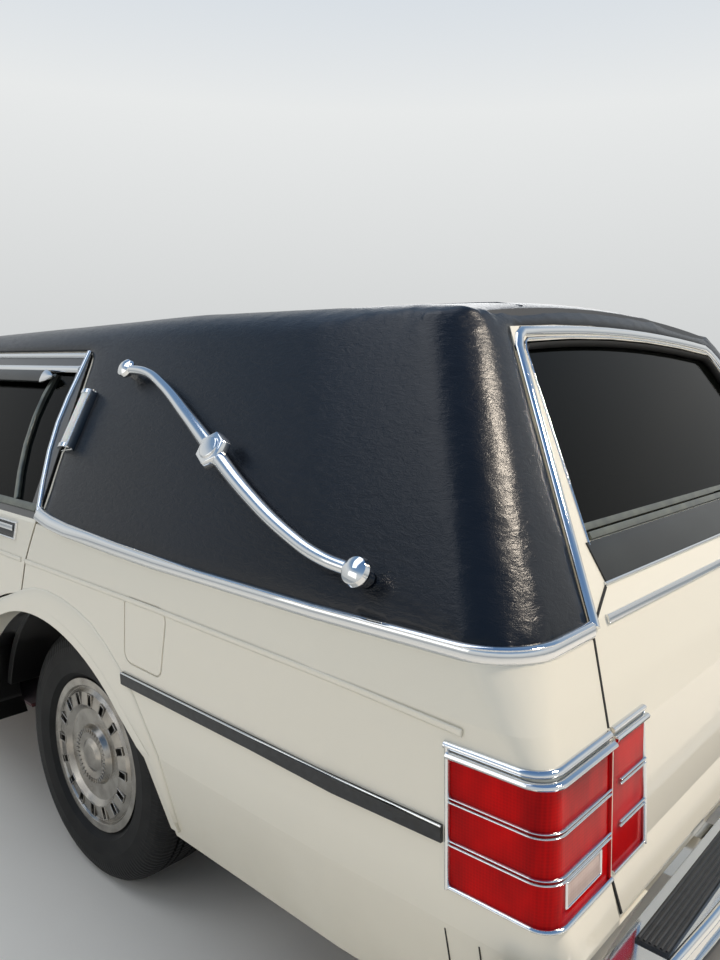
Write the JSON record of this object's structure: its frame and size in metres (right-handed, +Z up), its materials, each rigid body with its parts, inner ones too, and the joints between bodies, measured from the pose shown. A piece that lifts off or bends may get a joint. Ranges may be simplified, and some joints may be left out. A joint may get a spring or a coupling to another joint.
{
  "type": "hearse",
  "caption": "Full-size hearse with a padded roof covering, landau bars, side doors, a side-hinged rear gate, a hinged hood, steered front wheels and a raised load floor with rollers.",
  "frame": {"origin": "on the ground, under the middle of the car's overall box", "axes": "+X to the car's left side, +Y to its rear, +Z up"},
  "size_m": [2.342, 5.52, 1.511],
  "materials": {
    "ivory_paint": "gloss",
    "roof_steel": "satin",
    "blue_black_vinyl": "grained",
    "window_glass": "tinted",
    "bright_chrome": "polished",
    "clear_lamp": "fluted",
    "white_lamp": "gloss",
    "red_lamp": "gloss",
    "black_frame": "satin",
    "burgundy_carpet": "cut pile",
    "roller_steel": "brushed",
    "cast_knuckle": "cast",
    "black_tyre": "matt",
    "dash_plastic": "grained",
    "burgundy_leather": "grained"
  },
  "bodies": {
    "coach_body": {"belt_trim": "bright_chrome", "chassis_frame": "black_frame", "cowl": "roof_steel", "dashboard": "dash_plastic", "deck_rollers": "roller_steel", "drive_shaft": "black_frame", "engine_block": "cast_knuckle", "exhaust": "roller_steel", "floor_pan": "burgundy_carpet", "front_bumper": "bright_chrome", "front_fenders": "ivory_paint", "front_seat": "burgundy_leather", "front_suspension": "black_frame", "fuel_tank": "black_frame", "grille": "bright_chrome", "headlamps": "clear_lamp", "landau_bars": "bright_chrome", "load_deck": "burgundy_carpet", "nose_panel": "ivory_paint", "opera_lamps": "white_lamp", "quarter_panels": "ivory_paint", "rear_axle": "black_frame", "rear_bumper": "bright_chrome", "rear_sill": "ivory_paint", "roof_covering": "blue_black_vinyl", "roof_frame": "roof_steel", "side_frames": "ivory_paint", "steering_wheel": "dash_plastic", "tail_lamps": "red_lamp", "windshield": "window_glass"},
    "front_left_door": {"front_door_left": "ivory_paint", "front_door_glass_left": "window_glass"},
    "front_right_door": {"front_door_right": "ivory_paint", "front_door_glass_right": "window_glass"},
    "rear_left_door": {"rear_door_left": "ivory_paint", "rear_door_glass_left": "window_glass"},
    "rear_right_door": {"rear_door_right": "ivory_paint", "rear_door_glass_right": "window_glass"},
    "rear_gate": {"tailgate": "ivory_paint", "tailgate_glass": "window_glass", "tailgate_lamps": "red_lamp"},
    "hood_lid": {"hood": "ivory_paint"},
    "left_knuckle": {"knuckle_left": "cast_knuckle"},
    "right_knuckle": {"knuckle_right": "cast_knuckle"},
    "front_left_wheel": {"wheel_front_left": "bright_chrome", "tyre_front_left": "black_tyre"},
    "front_right_wheel": {"wheel_front_right": "bright_chrome", "tyre_front_right": "black_tyre"},
    "rear_left_wheel": {"wheel_rear_left": "bright_chrome", "tyre_rear_left": "black_tyre"},
    "rear_right_wheel": {"wheel_rear_right": "bright_chrome", "tyre_rear_right": "black_tyre"}
  },
  "joints": [
    {"name": "front_left_door_hinge", "type": "hinge", "parent": "coach_body", "child": "front_left_door", "pos_m": [1.018, -0.758, 0.65], "axis": [0, 0, -1], "range_deg": [0, 68]},
    {"name": "rear_left_door_hinge", "type": "hinge", "parent": "coach_body", "child": "rear_left_door", "pos_m": [1.018, 0.338, 0.65], "axis": [0, 0, -1], "range_deg": [0, 68]},
    {"name": "left_steering", "type": "hinge", "parent": "coach_body", "child": "left_knuckle", "pos_m": [0.69, -1.65, 0.335], "axis": [0, 0, 1], "range_deg": [-32, 32]},
    {"name": "front_left_wheel_spin", "type": "hinge", "parent": "left_knuckle", "child": "front_left_wheel", "pos_m": [0.78, -1.65, 0.335], "axis": [1, 0, 0], "continuous": true},
    {"name": "rear_left_wheel_spin", "type": "hinge", "parent": "coach_body", "child": "rear_left_wheel", "pos_m": [0.778, 1.253, 0.335], "axis": [1, 0, 0], "continuous": true},
    {"name": "front_right_door_hinge", "type": "hinge", "parent": "coach_body", "child": "front_right_door", "pos_m": [-1.018, -0.758, 0.65], "axis": [0, 0, 1], "range_deg": [0, 68]},
    {"name": "rear_right_door_hinge", "type": "hinge", "parent": "coach_body", "child": "rear_right_door", "pos_m": [-1.018, 0.338, 0.65], "axis": [0, 0, 1], "range_deg": [0, 68]},
    {"name": "right_steering", "type": "hinge", "parent": "coach_body", "child": "right_knuckle", "pos_m": [-0.69, -1.65, 0.335], "axis": [0, 0, 1], "range_deg": [-32, 32]},
    {"name": "front_right_wheel_spin", "type": "hinge", "parent": "right_knuckle", "child": "front_right_wheel", "pos_m": [-0.78, -1.65, 0.335], "axis": [1, 0, 0], "continuous": true},
    {"name": "rear_right_wheel_spin", "type": "hinge", "parent": "coach_body", "child": "rear_right_wheel", "pos_m": [-0.778, 1.253, 0.335], "axis": [1, 0, 0], "continuous": true},
    {"name": "rear_gate_hinge", "type": "hinge", "parent": "coach_body", "child": "rear_gate", "pos_m": [0.813, 2.655, 0.9], "axis": [0, 0, -1], "range_deg": [0, 85]},
    {"name": "hood_hinge", "type": "hinge", "parent": "coach_body", "child": "hood_lid", "pos_m": [0, -1.074, 0.978], "axis": [-1, 0, 0], "range_deg": [0, 55]}
  ],
  "couplings": [
    {"joint": "right_steering", "follows": "left_steering", "ratio": 1}
  ]
}
